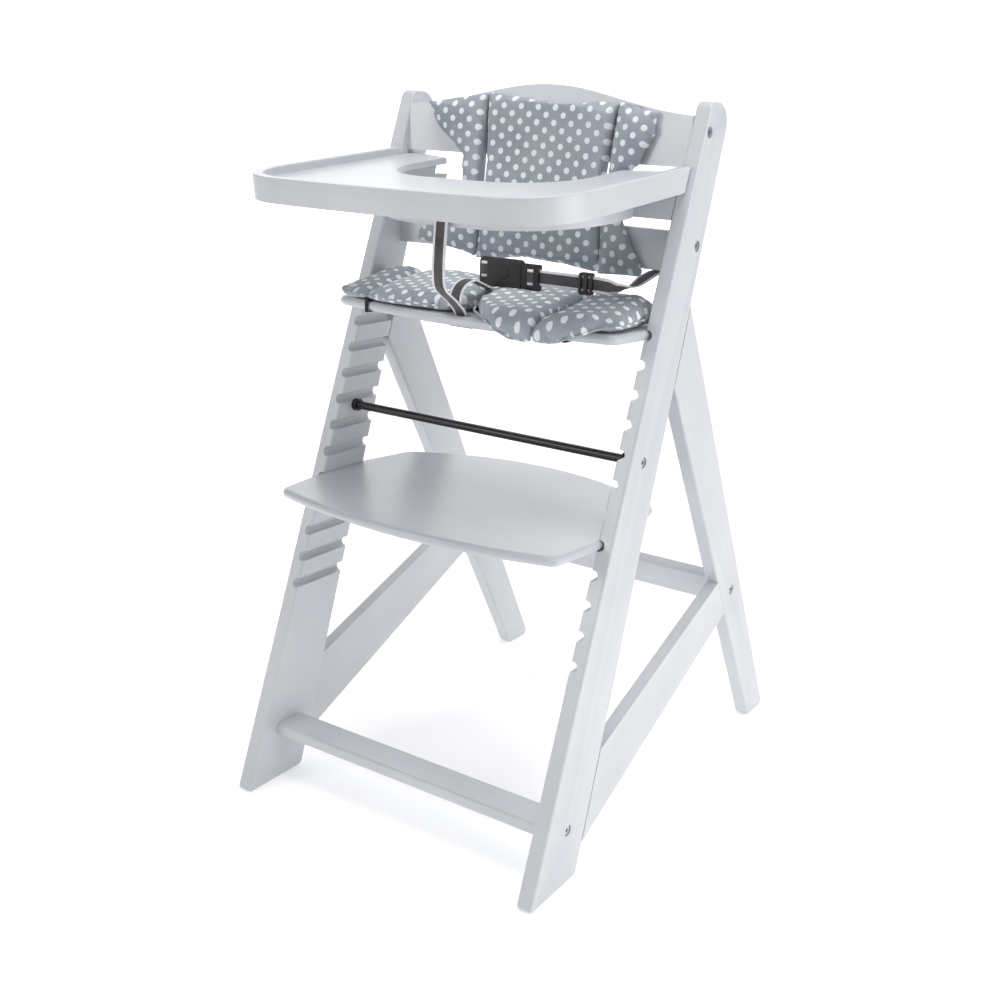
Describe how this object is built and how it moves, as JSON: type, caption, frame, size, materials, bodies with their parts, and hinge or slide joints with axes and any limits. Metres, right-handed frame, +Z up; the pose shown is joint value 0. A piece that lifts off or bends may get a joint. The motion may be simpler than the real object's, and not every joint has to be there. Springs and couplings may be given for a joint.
{
  "type": "baby high chair",
  "caption": "Wooden step-style baby high chair with raked grooved posts, adjustable seat and footboard, curved backrest, pull-off tray, guard bar, harness and soft pads.",
  "frame": {"origin": "on the floor, on the centre plane, under the middle of the overall depth (front of the tray to the heels of the rear legs)", "axes": "+Z up, the child faces -Y, +X to the child's left"},
  "size_m": [0.48, 0.6884, 0.948],
  "materials": {
    "painted_wood": "satin paint",
    "bare_wood": "raw",
    "black_metal": "satin",
    "black_plastic": "satin",
    "bolt_steel": "zinc plated",
    "webbing": "woven",
    "black_elastic": "woven",
    "dotted_fabric": "printed cotton"
  },
  "bodies": {
    "frame": {"left_post": "painted_wood", "right_post": "painted_wood", "left_rear_leg": "painted_wood", "right_rear_leg": "painted_wood", "left_side_brace": "painted_wood", "right_side_brace": "painted_wood", "wooden_dowels": "bare_wood", "front_crossbar": "painted_wood", "rear_crossbar": "painted_wood", "top_backrest_board": "painted_wood", "lower_backrest_board": "painted_wood", "tie_rod": "black_metal", "rod_collars": "black_plastic", "socket_bolts": "bolt_steel", "barrel_nuts": "bolt_steel", "guard_bar": "painted_wood", "left_guard_block": "painted_wood", "right_guard_block": "painted_wood", "guard_screws": "bolt_steel", "crotch_strap": "webbing", "strap_stop_bar": "black_plastic", "link_strap": "webbing", "buckle_housing": "black_plastic", "back_pad": "dotted_fabric"},
    "seat": {"seat_board": "painted_wood", "seat_pad": "dotted_fabric", "pad_ties": "black_elastic"},
    "foot_rest": {"footboard": "painted_wood"},
    "tray": {"tray_rim": "painted_wood", "tray_plate": "painted_wood"},
    "release_button": {"buckle_button": "black_plastic"},
    "buckle_clip": {"buckle_tongue": "black_plastic", "waist_strap": "webbing"},
    "adjuster": {"strap_adjuster": "black_plastic"}
  },
  "joints": [
    {"name": "tray_slide", "type": "slide", "parent": "frame", "child": "tray", "axis": [0, -0.9947, -0.1025], "range_m": [0, 0.25]},
    {"name": "seat_slide", "type": "slide", "parent": "frame", "child": "seat", "axis": [0, -1, 0], "range_m": [-0.005, 0.005]},
    {"name": "footboard_slide", "type": "slide", "parent": "frame", "child": "foot_rest", "axis": [0, -1, 0], "range_m": [-0.02, 0.12]},
    {"name": "button_press", "type": "slide", "parent": "frame", "child": "release_button", "axis": [0, 1, 0], "range_m": [0, 0.0018], "stiffness_N_per_m": 600},
    {"name": "tongue_release", "type": "slide", "parent": "frame", "child": "buckle_clip", "axis": [1, 0, 0], "range_m": [0, 0.012]},
    {"name": "adjuster_slide", "type": "slide", "parent": "buckle_clip", "child": "adjuster", "axis": [1, 0, 0], "range_m": [-0.03, 0.026]}
  ]
}
